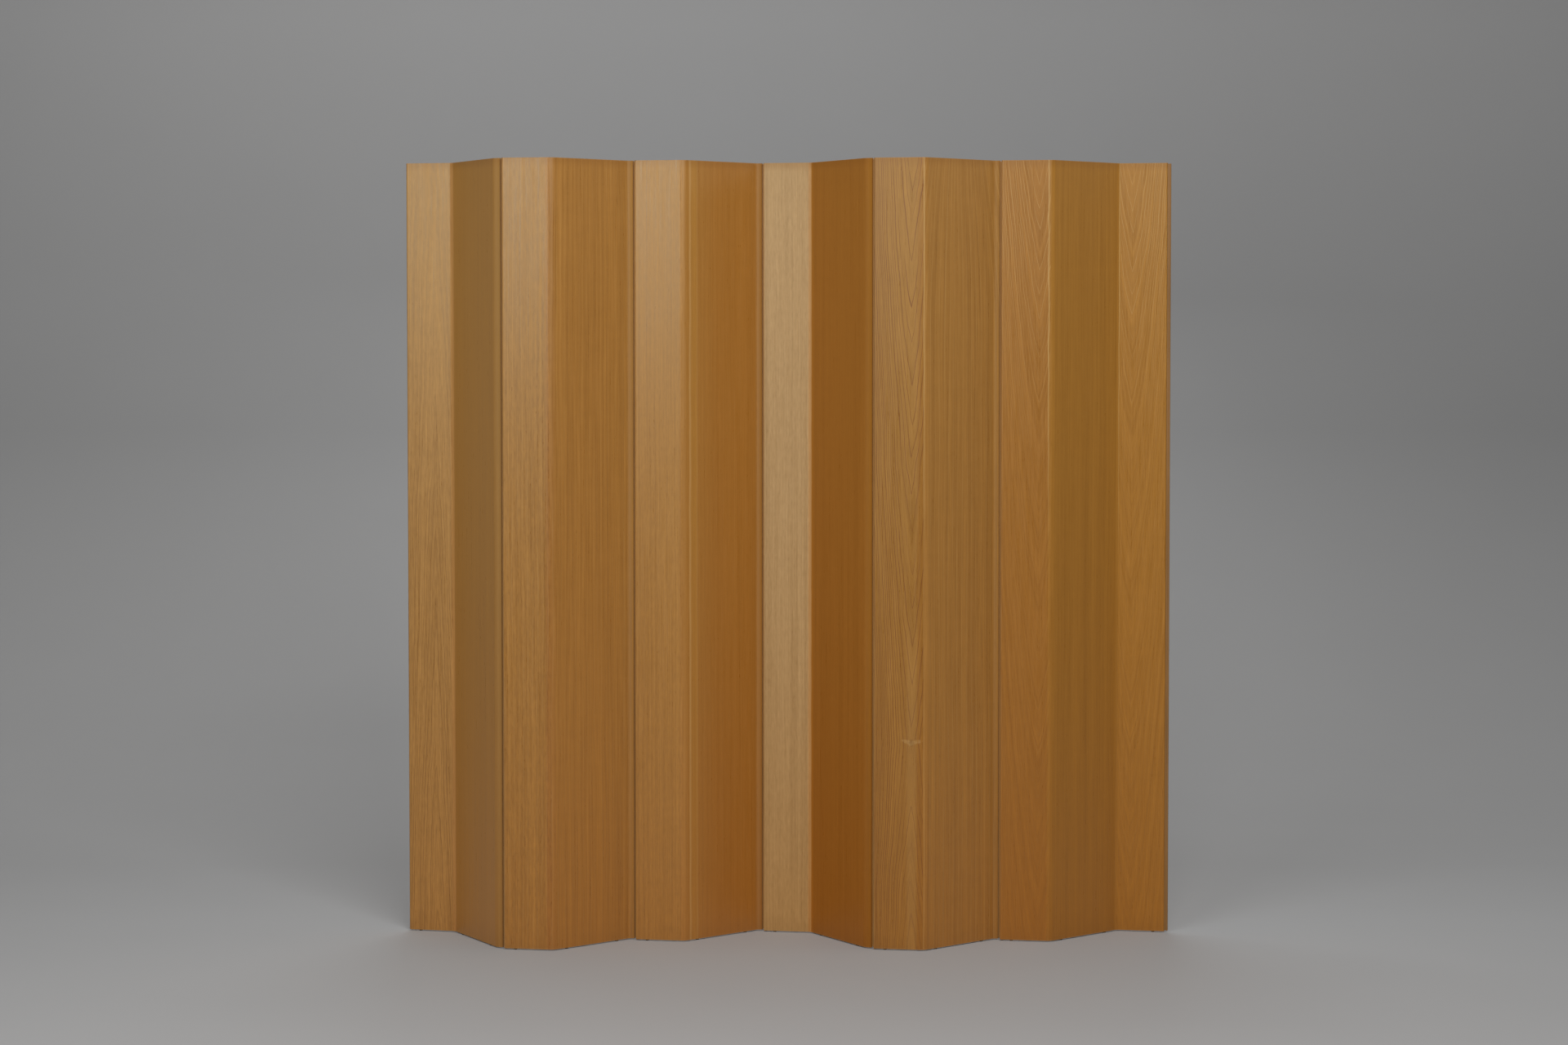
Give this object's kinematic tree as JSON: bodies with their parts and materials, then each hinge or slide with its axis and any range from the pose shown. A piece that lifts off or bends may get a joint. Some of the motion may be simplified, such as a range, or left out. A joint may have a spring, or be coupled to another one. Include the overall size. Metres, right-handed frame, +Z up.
{
  "type": "room divider",
  "caption": "Free-standing folding screen of moulded plywood panels, Z-shaped in section, joined edge to edge by full-height bead and socket hinges and standing on low glides.",
  "frame": {"origin": "middle of the bounding box in plan, on the floor plane under the glides", "axes": "+Z up; +X along the screen to the viewer's right in front of it; -Y is the front, so +Y points to the back"},
  "size_m": [1.7118, 0.2244, 1.73],
  "materials": {
    "plywood": "clear satin lacquer over straight-grained veneer, front and back",
    "strip": "extruded tan plastic, matt",
    "screw": "plain countersunk brass",
    "glide": "moulded dark plastic, matt"
  },
  "bodies": {
    "leaf_1": {"panel_1": "plywood", "bead_strip_1": "strip", "glides_1": "glide"},
    "leaf_2": {"panel_2": "plywood", "bead_strip_2": "strip", "socket_strip_1": "strip", "socket_screws_1": "screw", "glides_2": "glide"},
    "leaf_3": {"panel_3": "plywood", "bead_strip_3": "strip", "socket_strip_2": "strip", "socket_screws_2": "screw", "glides_3": "glide"},
    "leaf_4": {"panel_4": "plywood", "bead_strip_4": "strip", "socket_strip_3": "strip", "socket_screws_3": "screw", "glides_4": "glide"},
    "leaf_5": {"panel_5": "plywood", "bead_strip_5": "strip", "socket_strip_4": "strip", "socket_screws_4": "screw", "glides_5": "glide"},
    "leaf_6": {"panel_6": "plywood", "bead_strip_6": "strip", "socket_strip_5": "strip", "socket_screws_5": "screw", "glides_6": "glide"}
  },
  "joints": [
    {"name": "hinge_1", "type": "hinge", "parent": "leaf_2", "child": "leaf_1", "pos_m": [-0.61947, -0.08195, 0], "axis": [0, 0, 1], "range_deg": [-42.3, 47.7]},
    {"name": "hinge_2", "type": "hinge", "parent": "leaf_3", "child": "leaf_2", "pos_m": [-0.33581, 0.01026, 0], "axis": [0, 0, 1], "range_deg": [-45, 45]},
    {"name": "hinge_3", "type": "hinge", "parent": "leaf_3", "child": "leaf_4", "pos_m": [-0.05214, 0.10246, 0], "axis": [0, 0, 1], "range_deg": [-45, 45]},
    {"name": "hinge_4", "type": "hinge", "parent": "leaf_4", "child": "leaf_5", "pos_m": [0.18972, -0.08507, 0], "axis": [0, 0, 1], "range_deg": [-45, 45]},
    {"name": "hinge_5", "type": "hinge", "parent": "leaf_5", "child": "leaf_6", "pos_m": [0.47338, 0.00714, 0], "axis": [0, 0, 1], "range_deg": [-45, 45]}
  ]
}
